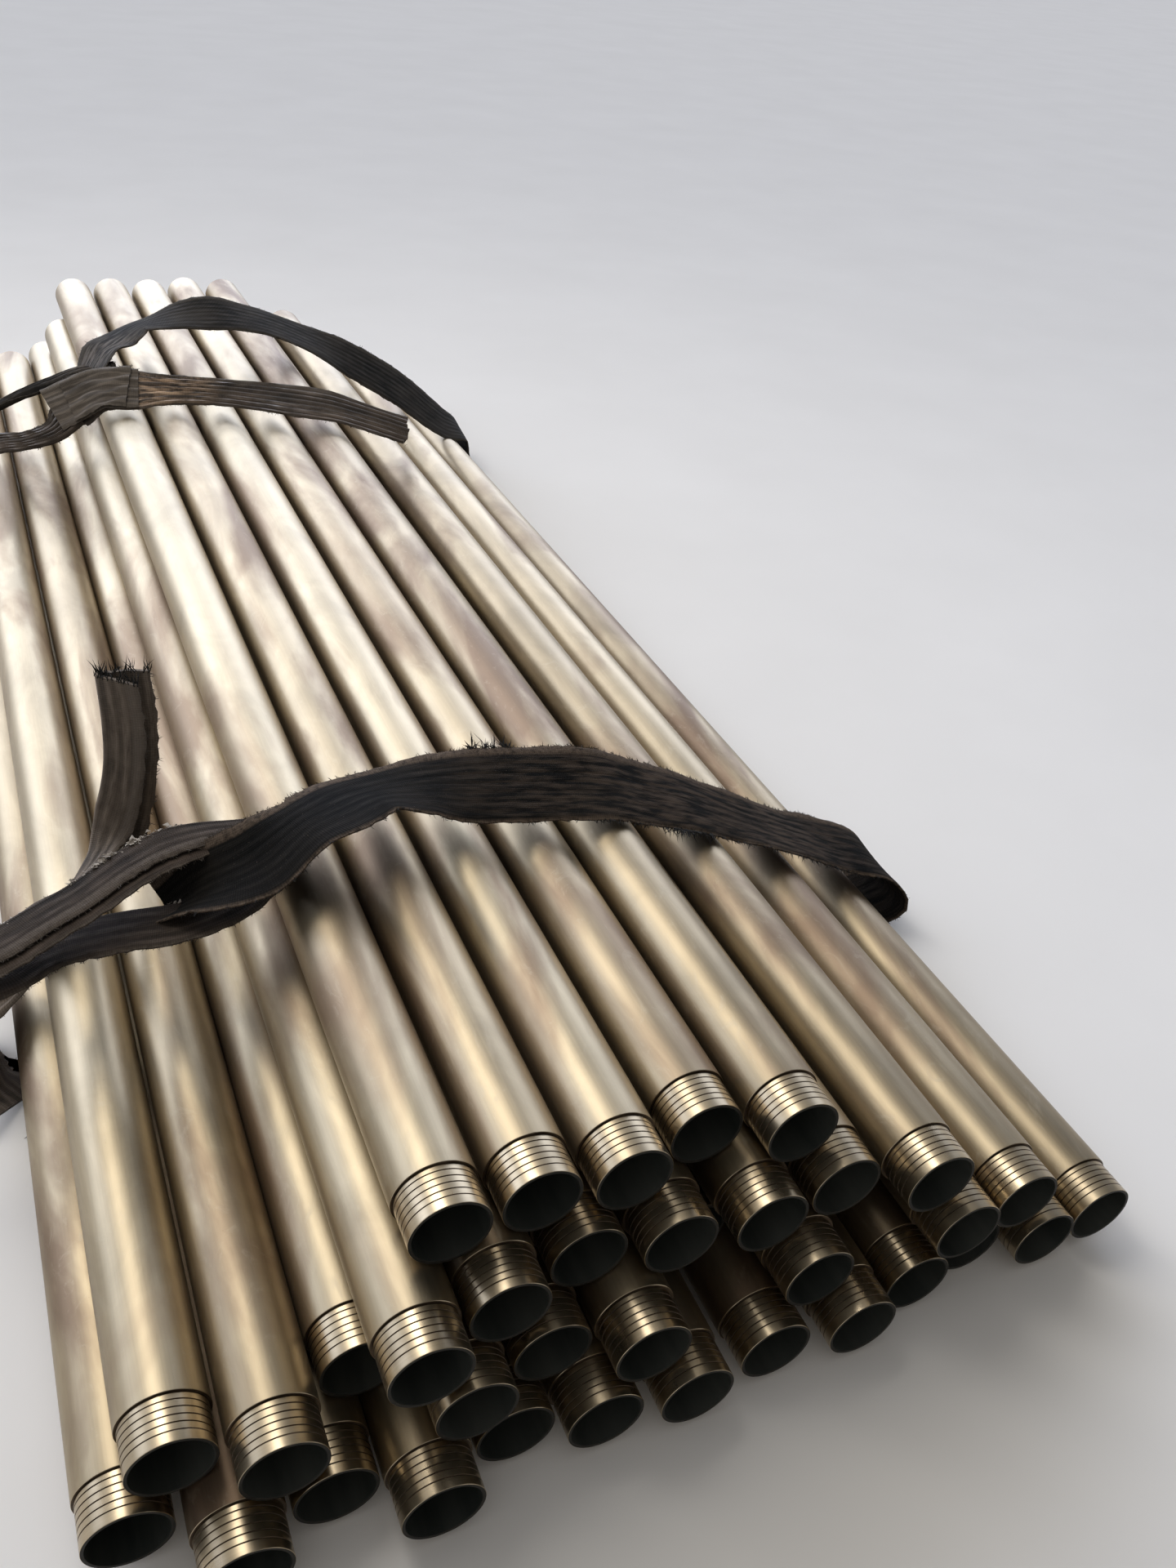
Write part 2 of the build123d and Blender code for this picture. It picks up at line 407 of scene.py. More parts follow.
# Slings, with their routes in millimetres from the first bottom pipe, the front-most mouth and the floor.
# bottom_pipe_04 has that mouth.
def pipe_centre(name):
    low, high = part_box(name)
    return (low.x + high.x) / 2, (low.z + high.z) / 2


first_x = pipe_centre("bottom_pipe_01")[0]
front_y = min(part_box(name)[0].y for name in pipe_names)
back_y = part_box("bottom_pipe_04")[1].y
pipe_length = (back_y - front_y) / MM
circles = [((x - first_x) / MM, z / MM) for x, z in map(pipe_centre, pipe_names)]
pile_width = (pipe_centre("bottom_pipe_13")[0] - first_x) / MM
pile_height = max(z for _, z in circles) + PIPE_RADIUS / MM


def taut_line():
    """Route of a strap pulled tight over the pile, as a hull of points round every pipe."""
    clear = PIPE_RADIUS / MM + OVER_PIPE
    angles = [radians(a) for a in range(-90, 91, 5)]
    hull = []
    for x, z in sorted((x + clear * sin(a), z + clear * cos(a)) for x, z in circles for a in angles):
        while len(hull) > 1:
            (x1, z1), (x2, z2) = hull[-2:]
            if (x2 - x1) * (z - z1) < (z2 - z1) * (x - x1):
                break
            hull.pop()
        hull.append((x, z))
    return hull


taut = taut_line()


# A station of a route is x, y, z, tilt in degrees, fold in half turns and width
TILT, FOLD, WIDTH = 3, 4, 5


def over(share, y, lift, tilt=0, fold=0.0, width=FULL):
    """Station over the pile: share of its width, distance along it and lift off the taut line."""
    x = share * pile_width
    return x, y, np.interp(x, *np.array(taut).T) + lift, tilt, fold, width


def held(share, y, height, tilt=0, fold=0.0, width=FULL):
    """Station that hangs free: shares of the pile's width and height."""
    return share * pile_width, y, height * pile_height, tilt, fold, width


def beside(side, bulge, y, height, tilt=0, fold=0.0, width=FULL):
    """Station left (-1) or right (1) of the pile, its height as a share of a pipe."""
    edge = 0 if side < 0 else pile_width
    x = edge + side * (PIPE_RADIUS / MM + OVER_PIPE + bulge)
    return x, y, OVER_FLOOR + height * 2 * PIPE_RADIUS / MM, tilt, fold, width


def floor(x, y):
    """Station on the floor below the pile."""
    return x, y, OVER_FLOOR, 0, 0.0, FULL


def smooth_line(stations):
    """Stations resampled at even steps along a smooth line through them."""
    values = np.array(stations, dtype=float)
    gaps = np.linalg.norm(np.diff(values[:, :3], axis=0), axis=1)
    along = np.concatenate([[0], np.cumsum(gaps)])
    rates = np.diff(values, axis=0) / gaps[:, None]
    before, after = rates[:-1], rates[1:]
    share = (gaps[1:] / (gaps[:-1] + gaps[1:]))[:, None]
    slopes = np.concatenate([rates[:1], share * before + (1 - share) * after, rates[-1:]])
    most = 3 * np.minimum(abs(before), abs(after)) * (before * after > 0)
    slopes[1:-1] = np.clip(slopes[1:-1], -most, most)
    wanted = np.linspace(0, along[-1], 12 * len(values))
    k = np.clip(np.searchsorted(along, wanted, side="right") - 1, 0, len(gaps) - 1)
    h = gaps[k][:, None]
    t = (wanted - along[k])[:, None] / h
    fine = (
        (2 * t**3 - 3 * t**2 + 1) * values[k]
        + (t**3 - 2 * t**2 + t) * h * slopes[k]
        + (3 * t**2 - 2 * t**3) * values[k + 1]
        + (t**3 - t**2) * h * slopes[k + 1]
    )
    run = np.concatenate([[0], np.cumsum(np.linalg.norm(np.diff(fine[:, :3], axis=0), axis=1))])
    even = np.linspace(0, run[-1], int(run[-1] / RING_STEP) + 1)
    return np.stack([np.interp(even, run, column) for column in fine.T], axis=1), even


def frames(line):
    """Unit vectors along, across and up at each point of a line, turned by its tilt."""
    places, tilt = line[:, :3], np.radians(line[:, [TILT]])
    along = np.gradient(places, axis=0)
    along /= np.linalg.norm(along, axis=1, keepdims=True)
    level = np.array([0, 1, 0]) - along * along[:, 1:2]
    level /= np.linalg.norm(level, axis=1, keepdims=True)
    across = level * np.cos(tilt) + np.cross(along, level) * np.sin(tilt)
    return along, across, np.cross(along, across)


def ripple(even, seed, size):
    """Slow irregular wave along a route."""
    dice = random.Random(seed)
    waves = [(dice.uniform(60, 400), dice.uniform(0, 2 * pi)) for _ in range(5)]
    return size * sum(np.sin(2 * pi * even / length + phase) for length, phase in waves)[:, None] / 2.2


def section(line, even, seed, thickness, waves):
    """Cross section at each point of a route: outline in across and up, edge places and edge directions."""
    u = np.unique(np.concatenate([np.linspace(-1, 1, 5 * RIBS + 1), np.linspace(-0.06, 0.3, 10)]).round(6))
    fold, width = line[:, [FOLD]], line[:, [WIDTH]]
    crease = np.clip((u - CREASE + 0.1) / 0.2, 0, 1)
    angle = pi * fold * crease * crease * (3 - 2 * crease)
    steps = np.diff(u) * WEB_WIDTH / MM / 2
    middle = (angle[:, 1:] + angle[:, :-1]) / 2
    start = np.zeros((len(line), 1))
    a = np.concatenate([start, np.cumsum(np.cos(middle) * steps, axis=1)], axis=1)
    b = np.concatenate([start, np.cumsum(np.sin(middle) * steps, axis=1)], axis=1)
    a -= (a.max(axis=1, keepdims=True) + a.min(axis=1, keepdims=True)) / 2
    b -= (b.max(axis=1, keepdims=True) + b.min(axis=1, keepdims=True)) / 2
    squeeze = width * MM / WEB_WIDTH
    a *= squeeze
    flat = 1 - np.clip(abs(fold), 0, 1)
    gather = np.sqrt(np.clip(1 / squeeze - 1, 0, None)) * width / GATHER_FLATNESS * flat
    gather *= (WAVES / waves) ** 0.7
    b += gather * np.sin(2 * pi * waves * (u + 1) + ripple(even, seed + 1, min(0.9, waves / 2)))
    b += flat * (ripple(even, seed + 2, 1.6) * (u**2 - 0.33) + ripple(even, seed + 3, 0.8) * u**3)
    dice = np.random.default_rng(seed)
    for edge, sign in ((0, -1), (-1, 1)):
        a[:, edge] += sign * dice.uniform(-1.6, 1.4, len(line))
        b[:, edge] += dice.uniform(-0.6, 0.6, len(line))
    da, db = np.gradient(a, axis=1), np.gradient(b, axis=1)
    size = np.hypot(da, db)
    normal_a, normal_b = -db / size, da / size
    rib = abs(np.sin(pi * RIBS * (u + 1) / 2)) ** 0.45
    round_off = np.sqrt(np.clip(1 - abs(u) ** 14, 0.10, 1))
    half = (thickness / 2 - RIB_HEIGHT / MM * (1 - rib)) * round_off
    top = np.stack([a + normal_a * half, b + normal_b * half], axis=2)
    bottom = np.stack([a - normal_a * half, b - normal_b * half], axis=2)
    edges = [
        (np.stack([a[:, 0], b[:, 0]], axis=1), -np.stack([da[:, 0], db[:, 0]], axis=1) / size[:, :1]),
        (np.stack([a[:, -1], b[:, -1]], axis=1), np.stack([da[:, -1], db[:, -1]], axis=1) / size[:, -1:]),
    ]
    return u, np.concatenate([top, bottom[:, ::-1]], axis=1), edges


ROUTE_ZERO = np.array([first_x, front_y, 0])
Ribbon = namedtuple("Ribbon", "points faces uvs borders length")


def to_world(places):
    return places * MM + ROUTE_ZERO


def webbing(
    stations, seed, thickness=RIBBON_THICKNESS, part=None, offset=0.0, ragged=0.0, slant=0.0, waves=WAVES
):
    """Ribbed webbing along a route, or along the part between two shares of the pile's width."""
    line, even = smooth_line(stations)
    along, across, up = frames(line)
    if part:
        low, high, part_width = part
        kept = (line[:, 0] >= low * pile_width) & (line[:, 0] <= high * pile_width)
        line, even, along, across, up = (array[kept] for array in (line, even, along, across, up))
        line[:, WIDTH] = part_width
    u, outline, edges = section(line, even, seed, thickness, waves)
    rings, count = outline.shape[:2]
    centre = line[:, None, :3] + up[:, None] * offset
    points = centre + across[:, None] * outline[..., :1] + up[:, None] * outline[..., 1:]
    if ragged:
        tear = ragged * ripple((np.concatenate([u, u[::-1]]) + 1) * 90, seed + 4, 1.0)[:, 0]
        for back in range(TORN_RINGS):
            points[-1 - back] += along[-1] * (tear * (1 - back / TORN_RINGS))[:, None]
    for ahead in range(SLANT_RINGS if slant else 0):
        lean = slant * (np.concatenate([u, u[::-1]]) + 1) / 2
        points[ahead] -= along[ahead] * (lean * (1 - ahead / SLANT_RINGS))[:, None]
    points[..., 2] = np.clip(points[..., 2], LOWEST, None)
    number = np.arange(rings * count).reshape(rings, count)
    one, two = number[:-1], number[1:]
    side = np.stack([one, np.roll(one, -1, 1), np.roll(two, -1, 1), two], axis=2).reshape(-1, 4)
    m = count // 2
    k = np.arange(m - 1)
    caps = [
        np.stack([ring[k], ring[k + 1], ring[count - 2 - k], ring[count - 1 - k]], axis=1)
        for ring in (number[0], number[-1])
    ]
    faces = np.concatenate([side, caps[0], caps[1][:, ::-1]])
    wide = np.broadcast_to(np.concatenate([(u + 1) / 2, (u[::-1] + 1) / 2]), (rings, count))
    long = np.broadcast_to(even[:, None] / FULL, (rings, count))
    uvs = np.stack([wide, long], axis=2)
    borders = []
    for place, outward in edges:
        root = centre[:, 0] + across * place[:, :1] + up * place[:, 1:]
        borders.append((root, across * outward[:, :1] + up * outward[:, 1:], along, up))
    places = to_world(points.reshape(-1, 3))
    return Ribbon(places, faces, uvs.reshape(-1, 2), borders, even[-1] - even[0])


def joined(name, pieces, materials):
    """One mesh of several ribbons, with outward faces, a material each, and UVs across and along."""
    start, points, faces, uvs, slots = 0, [], [], [], []
    for number, ribbon in enumerate(pieces):
        points.append(ribbon.points)
        faces.append(ribbon.faces + start)
        uvs.append(ribbon.uvs)
        slots.append(np.full(len(ribbon.faces), number))
        start += len(ribbon.points)
    faces, uvs = np.concatenate(faces), np.concatenate(uvs)
    thing = mesh_object(name, np.concatenate(points), faces, np.concatenate(slots), materials, angle=50)
    mesh = thing.data
    layer = mesh.uv_layers.new(name="weave")
    corner = np.empty(len(mesh.loops), dtype=np.int32)
    mesh.loops.foreach_get("vertex_index", corner)
    layer.data.foreach_set("uv", uvs[corner].astype(np.float32).ravel())
    work = bmesh.new()
    work.from_mesh(mesh)
    bmesh.ops.recalc_face_normals(work, faces=work.faces)
    work.to_mesh(mesh)
    work.free()
    return thing


def rings_of(piece):
    """Rings of a ribbon's points, back in the millimetres of its route."""
    edge_places = piece.borders[0][0]
    return (piece.points.reshape(len(edge_places), -1, 3) - ROUTE_ZERO) / MM


def between(places, share):
    """True for places between two shares of the pile's width."""
    return (places[:, 0] > share[0] * pile_width) & (places[:, 0] < share[1] * pile_width)


# Heights in millimetres that keep threads off the run under the pile, and chips on the top of the loop
ABOVE_FLOOR = 60
ABOVE_LOOP = 290

# Turns of a loose thread's three corners, in radians, and the material slots of threads and chips
CORNERS = (0, 2.1, 4.2)
THREAD_SLOT, CHIP_SLOT, DARK_SLOT = range(3)


class Fray:
    """Loose threads that stand out of the worn edges, and dry chips of dirt."""

    def __init__(self, seed):
        self.dice = np.random.default_rng(seed)
        self.points, self.faces, self.slots = [], [], []

    def thread(self, root, direction, length, radius, slot=THREAD_SLOT):
        direction = direction / np.linalg.norm(direction)
        side = np.cross(direction, [0.3, 0.2, 1.0])
        side /= np.linalg.norm(side)
        other = np.cross(direction, side)
        bend = self.dice.normal(0, 0.22, 3) * length
        start = len(self.points)
        for share, size in ((-0.15, 1.0), (0.5, 0.8)):
            centre = root + direction * length * share + bend * max(share, 0) ** 2
            for turn in CORNERS:
                self.points.append(centre + (side * cos(turn) + other * sin(turn)) * radius * size)
        self.points.append(root + direction * length + bend)
        a, b, c, d, e, f, tip = range(start, start + 7)
        self.faces += [(a, b, e, d), (b, c, f, e), (c, a, d, f)]
        self.faces += [(d, e, tip), (e, f, tip), (f, d, tip), (c, b, a)]
        self.slots += [slot] * 7

    def along_edge(self, border, count, length, radius=0.45, share=None, lift=0.5, slot=THREAD_SLOT):
        """Threads at random places of an edge, or only between two shares of the pile's width."""
        root, outward, along, up = border
        rings = np.arange(len(root))
        if share:
            rings = rings[between(root, share) & (root[:, 2] > ABOVE_FLOOR)]
        for ring in self.dice.choice(rings, count):
            spread = self.dice.normal(0, 0.6) * along[ring] + self.dice.normal(0, lift) * up[ring]
            place = root[ring] + along[ring] * self.dice.uniform(-4, 4)
            place = place + up[ring] * self.dice.uniform(-1.5, 1.5)
            long = length * self.dice.uniform(0.4, 1.3)
            self.thread(place, outward[ring] + spread, long, radius * self.dice.uniform(0.7, 1.4), slot)

    def tip(self, piece, count, length, radius, slot=THREAD_SLOT):
        """Threads out of the torn end of a ribbon."""
        along = piece.borders[0][2]
        for place in self.dice.choice(rings_of(piece)[-1], count):
            way = along[-1] + self.dice.normal(0, 0.35, 3)
            long = length * self.dice.uniform(0.3, 1.3)
            self.thread(place, way, long, radius * self.dice.uniform(0.7, 1.4), slot)

    def chips(self, piece, count, share, size):
        """Dry dirt on the upper side of a ribbon, between two shares of the pile's width."""
        rings = rings_of(piece)
        every = np.arange(len(rings))
        leans = (0.25, 0.4, 0.68)
        tops = [rings[every, (rings[..., 2] + w * rings[..., 1]).argmax(axis=1)] for w in leans]
        tops = np.concatenate(tops)
        tops = tops[between(tops, share) & (tops[:, 2] > ABOVE_LOOP)]
        for place in self.dice.choice(tops, count):
            shift = self.dice.normal(0, 2.5, 3) * np.array([1, -1, 0])
            self.flake(place + shift, size * self.dice.uniform(0.4, 1.2))

    def flake(self, place, size):
        """Small dry chip of dirt."""
        corners = self.dice.normal(0, 1, (4, 3)) * size * np.array([1, 1, 0.5])
        start = len(self.points)
        self.points += list(place + corners)
        a, b, c, d = range(start, start + 4)
        self.faces += [(a, b, c), (a, c, d), (a, d, b), (b, d, c)]
        self.slots += [CHIP_SLOT] * 4

    def finish(self, name, materials):
        points = to_world(np.array(self.points))
        points[:, 2] = np.clip(points[:, 2], LOWEST * MM, None)
        return mesh_object(name, points, self.faces, self.slots, materials)


def declare(piece, fray, node):
    """Hangs a sling and its loose threads on the root body, and hides the CAD node that they stand for."""
    for thing in (piece, fray):
        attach(thing, "root")
        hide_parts(node)


NEAR = NEAR_SLING_INSET / MM
FAR = pipe_length - FAR_SLING_INSET / MM
left = -PIPE_RADIUS / MM
right = pile_width - left


def near_routes():
    """Stations of the near sling: its torn stub, its body and its folded eye."""
    y = NEAR
    stub = [
        floor(left, y),
        beside(-1, 20, y + 30, 0.2),
        beside(-1, 24, y + 66, 0.6),
        beside(-1, 20, y + 90, 1.20),
        over(-0.028, y + 78, 66, 0, 0.6, 76),
        over(0.018, y + 82, 56, 0, 0.75, 76),
        over(0.060, y + 114, 36, 0, 0.85, 80),
        over(0.092, y + 154, 20, 30, 0.85, 100),
        over(0.106, y + 174, 24, 65, 0.85, 116),
        over(0.119, y + 180, 50, 85, 0.85, 122),
        over(0.133, y + 180, 105, 88, 0.85, 116),
        over(0.139, y + 182, 165, 92, 0.85, 116),
        over(0.140, y + 188, 224, 95, 0.80, 114),
    ]
    body = [
        floor(left, y),
        floor(left + 60, y),
        floor(pile_width / 2, y),
        floor(right - 60, y),
        floor(right, y),
        beside(1, 67, y - 20, 0.47),
        beside(1, 42, y - 8, 0.97, -3),
        over(1.005, y + 5, 27, -6),
        over(0.942, y, 24, -2),
        over(0.870, y - 4, 22, -5),
        over(0.811, y - 4, 18, -8),
        over(0.755, y - 8, 20, -9),
        over(0.697, y - 12, 19, -12),
        over(0.635, y - 18, 21, -15),
        over(0.570, y - 8, 28, -16),
        over(0.485, y - 2, 38, -14),
        over(0.424, y + 10, 40, 0),
        over(0.359, y + 3, 46, 14),
        over(0.291, y - 40, 56, 10),
        over(0.228, y - 54, 56, -10, 0, 122),
        over(0.157, y - 32, 66, -4, 0, 92),
        over(0.122, y - 22, 58, -8, 0, 60),
    ]
    eye = [
        held(0.262, y + 26, 1.020, 0, -1, 60),
        held(0.222, y + 22, 1.030, 0, -1, 75),
        held(0.179, y + 18, 1.040, 0, -1, 105),
        held(0.146, y + 14, 1.032, 0, -1),
        held(0.101, y - 1, 1.003, 0, -1),
        held(0.057, y - 24, 0.966, 0, -1),
        held(0.014, y - 40, 0.932, 0, -1),
        held(-0.025, y - 60, 0.912, 0, -1),
        held(-0.066, y - 74, 0.900, 0, -1),
        held(-0.083, y - 76, 0.868, 0, -1),
        held(-0.066, y - 76, 0.835, 0, -1),
        held(-0.031, y - 72, 0.822, 0, -1),
        held(0.006, y - 48, 0.820, 0, -1),
        held(0.044, y - 42, 0.828, 0, -1),
        held(0.081, y - 47, 0.843, 0, -1),
        held(0.156, y - 62, 0.876, 0, -1),
        held(0.197, y - 60, 0.905, 0, -1),
        held(0.230, y - 48, 0.945, 0, -1),
        held(0.262, y - 42, 1.010, 0, -1),
        held(0.285, y - 40, 1.085, 0, -1),
    ]
    return {"stub": stub, "body": body, "eye": eye}


def far_routes():
    """Stations of the far sling: its arch, lying strap and tail, and its sewn patch."""
    y = FAR
    arch = [
        floor(left, y),
        floor(left + 60, y),
        floor(pile_width / 2, y),
        floor(right - 60, y),
        floor(right, y),
        beside(1, 14, y + 10, 0.42),
        beside(1, 14, y + 15, 0.92, -4),
        over(1.012, y + 15, 16, -22),
        over(0.898, y + 8, 44, -30),
        over(0.793, y + 5, 51, -28),
        over(0.700, y, 58, -14),
        over(0.582, y, 76, -12),
        over(0.500, y + 3, 88, -19),
        over(0.434, y, 82, -8),
        over(0.366, y + 5, 62, 6),
        over(0.316, y - 30, 44, 0),
        over(0.280, y - 76, 34),
        over(0.250, y - 128, 26),
        over(0.226, y - 176, 16),
    ]
    tail = [
        over(0.290, y - 126, 14, 10, 0, 60),
        over(0.235, y - 106, 26, 10, 0, 60),
        over(0.180, y - 72, 30, 8, 0, 58),
        over(0.115, y - 40, 34, 8, 0, 56),
        over(0.050, y - 36, 40, 14, 0, 54),
        over(-0.020, y - 42, 84, 14, 0, 54),
        beside(-1, 60, y - 40, 1.55, 8, 0, 56),
        beside(-1, 76, y - 36, 0.95, 0, 0, 60),
        beside(-1, 78, y - 34, 0.40, 0, 0, 62),
    ]
    patch = [
        held(0.110, y - 268, 0.880, 28),
        held(0.165, y - 270, 0.936, 27),
        held(0.205, y - 278, 0.995, 25),
        held(0.250, y - 292, 1.066, 20),
        held(0.310, y - 315, 1.090, 20),
        held(0.340, y - 320, 1.090, 19),
    ]
    lying = [
        floor(left, y),
        beside(-1, 14, y, 0.35),
        beside(-1, 12, y - 30, 1.0),
        held(-0.018, y - 150, 0.500, 0, 0, 60),
        held(0.027, y - 214, 0.640, 4, 0, 58),
        held(0.066, y - 272, 0.750, 10, 0, 56),
        held(0.108, y - 300, 0.790, 14, 0, 56),
        held(0.158, y - 306, 0.850, 20, 0, 66),
        held(0.200, y - 286, 0.960, 26, 0, 112),
        held(0.250, y - 292, 1.066, 20),
        held(0.310, y - 315, 1.090, 20, 0, 124),
        held(0.340, y - 320, 1.090, 19, 0, 104),
        held(0.403, y - 330, 1.083, 18, 0, 86),
        held(0.502, y - 367, 1.075, 15, 0, 98),
        held(0.569, y - 408, 1.070, 15, 0, 104),
        held(0.639, y - 453, 1.060, 15, 0, 106),
        held(0.705, y - 480, 1.005, 16, 0, 106),
        held(0.778, y - 502, 0.925, 16, 0, 104),
    ]
    return {"arch": arch, "lying": lying, "tail": tail}, patch


# Dirty polyester webbing, dark brown to black, with a cross weave and worn paler ribs with painted
# highlight on their crests, and with a spot where one is given by its place, reach and tint: a painted
# highlight, on the near body partly a brown tone
def webbing_material(name, dark, brown, gloss, shine, edge, rub_and_painted_highlight=None):
    s = Shader(name)
    uv = s.nodes.new("ShaderNodeUVMap")
    uv.uv_map = "weave"
    split = s.nodes.new("ShaderNodeSeparateXYZ")
    s.join(uv.outputs["UV"], split.inputs["Vector"])
    across, along = split.outputs["X"], split.outputs["Y"]
    rib = s.math("ABSOLUTE", s.math("SINE", s.math("MULTIPLY", across, pi * RIBS)))
    weft = s.math("SINE", s.math("MULTIPLY", along, 2 * pi * WEFTS))
    yarn = s.math("SINE", s.math("MULTIPLY", across, 2 * pi * RIBS * RIB_YARNS))
    soil = s.noise(1.0, 6, 0.65, s.mapped((9, 14, 14)))
    streaks = s.noise(1.0, 4, 0.6, s.mapped((16, 2.2, 1), uv.outputs["UV"]))
    # Paler rib crests: partly worn and dusty, partly a painted highlight where the ribs catch the light
    worn = s.math("MULTIPLY", s.ramp(rib, (0.35, 0), (1.0, 1)), s.ramp(streaks, (0.38, 0), (0.68, 1)))
    base = s.mix(s.ramp(soil, (0.35, 0), (0.7, 1)), dark, brown)
    pale = s.mix(s.math("MULTIPLY", worn, 0.55), base, tuple(min(1, c * 2.1) for c in brown))
    # Spot of painted highlight round a place, streaked and fading out over its reach; on the near body
    # partly a brown tone
    if rub_and_painted_highlight:
        near = s.nodes.new("ShaderNodeVectorMath")
        near.operation = "DISTANCE"
        (x, y, z), reach, tint = rub_and_painted_highlight
        s.join(s.mapped((1, 1.6, 1), place=(-x, -y * 1.6, -z)), near.inputs[0])
        spot = s.ramp(near.outputs["Value"], (reach * 0.3, 1), (reach, 0))
        pale = s.mix(s.math("MULTIPLY", spot, s.ramp(streaks, (0.42, 0), (0.62, 1))), pale, tint)
    # Both edges get a pale band, one of them a wider one: painted light where the edge catches the light,
    # broken up by fuzz
    both = s.ramp(s.math("ABSOLUTE", s.math("SUBTRACT", across, 0.5)), (0.46, 0), (0.49, 1))
    border = s.math("MAXIMUM", both, s.ramp(across, (0.865, 0), (0.90, 1)))
    fuzzy = s.math("MULTIPLY", border, s.ramp(s.noise(160, 3, 0.7), (0.3, 0.2), (0.6, 1)))
    rimmed = s.mix(fuzzy, pale, edge)
    grit = s.ramp(s.noise(420, 3, 0.7), (0.67, 0), (0.74, 1))
    dusty = s.mix(s.math("MULTIPLY", grit, 0.4), rimmed, tuple(c * 2.2 for c in edge))
    threads = s.math("ADD", s.math("MULTIPLY", weft, 0.5), s.math("MULTIPLY", yarn, 0.25))
    shade = s.ramp(s.math("ADD", s.math("MULTIPLY", threads, 0.5), 0.5), (0.0, 0.62), (1.0, 1.0))
    s.into(s.mix(1.0, dusty, shade, "MULTIPLY"), "Base Color")
    polish = s.math("MULTIPLY", worn, s.ramp(soil, (0.3, 1), (0.7, 0.3)))
    s.into(s.ramp(polish, (0.1, 0.85), (0.8, gloss)), "Roughness")
    fuzz = s.noise(700, 3, 0.75)
    s.into(s.bump(threads, 0.55, 0.0006, s.bump(fuzz, 0.35, 0.0008)), "Normal")
    s.set(Specular_IOR_Level=shine)
    return s.material


def plain_material(name, low, high, rough):
    s = Shader(name)
    s.into(s.ramp(s.noise(90, 3), (0.3, low), (0.7, high)), "Base Color")
    s.set(Roughness=rough)
    return s.material


def on_route(station):
    """A station's place, in metres."""
    return tuple(to_world(np.array(station[:3])))


# Body of the near sling: its near-black is partly the webbing's dark tone and partly painted shade
NEAR_BODY = webbing_material(
    "webbing_black_painted_shade",
    dark=(0.0045, 0.0046, 0.0043),
    brown=(0.014, 0.012, 0.010),
    gloss=0.75,
    shine=0.06,
    edge=(0.135, 0.100, 0.074),
    rub_and_painted_highlight=(on_route(over(0.80, NEAR - 10, 22)), 0.50, (0.085, 0.062, 0.046)),
)
NEAR_EYE = webbing_material(
    "webbing_brown",
    dark=(0.018, 0.014, 0.011),
    brown=(0.078, 0.058, 0.045),
    gloss=0.60,
    shine=0.15,
    edge=(0.120, 0.095, 0.074),
)
# Webbing of the stub: a brighter copy of the sling's webbing, with painted light on its lit front
NEAR_STUB = webbing_material(
    "webbing_lit",
    dark=(0.066, 0.053, 0.042),
    brown=(0.215, 0.170, 0.132),
    gloss=0.55,
    shine=0.25,
    edge=(0.190, 0.155, 0.125),
)
# Webbing of the far arch; its paler spot on the fan at the left end is painted light
FAR_ARCH = webbing_material(
    "webbing_grey",
    dark=(0.010, 0.0095, 0.009),
    brown=(0.046, 0.040, 0.034),
    gloss=0.60,
    shine=0.12,
    edge=(0.080, 0.068, 0.055),
    rub_and_painted_highlight=(on_route(over(0.285, FAR - 90, 34)), 0.16, (0.16, 0.135, 0.115)),
)
# Webbing of the lying strap; its orange-tan spot right of the patch is a painted highlight on the gathered
# ridges
FAR_STRAP = webbing_material(
    "webbing_worn_painted_highlight",
    dark=(0.022, 0.017, 0.013),
    brown=(0.110, 0.080, 0.058),
    gloss=0.28,
    shine=0.50,
    edge=(0.085, 0.066, 0.050),
    rub_and_painted_highlight=(on_route(held(0.345, FAR - 322, 1.10)), 0.15, (0.62, 0.43, 0.28)),
)
PATCH = webbing_material(
    "webbing_patch",
    dark=(0.062, 0.051, 0.041),
    brown=(0.160, 0.132, 0.106),
    gloss=0.62,
    shine=0.20,
    edge=(0.160, 0.135, 0.110),
)
THREADS = plain_material("loose_threads", (0.030, 0.024, 0.018), (0.095, 0.075, 0.057), 0.9)
CHIPS = plain_material("dirt_chips", (0.20, 0.17, 0.14), (0.52, 0.47, 0.41), 0.95)
DARK_THREADS = plain_material("dark_threads", (0.006, 0.006, 0.006), (0.018, 0.016, 0.013), 0.9)


def ribbons(routes, first_seed, ragged, waves):
    """Webbing along each route by name, where some have a torn end or their own number of gathers."""
    return {
        name: webbing(stations, seed, ragged=ragged.get(name, 0.0), waves=waves.get(name, WAVES))
        for seed, (name, stations) in enumerate(routes.items(), first_seed)
    }


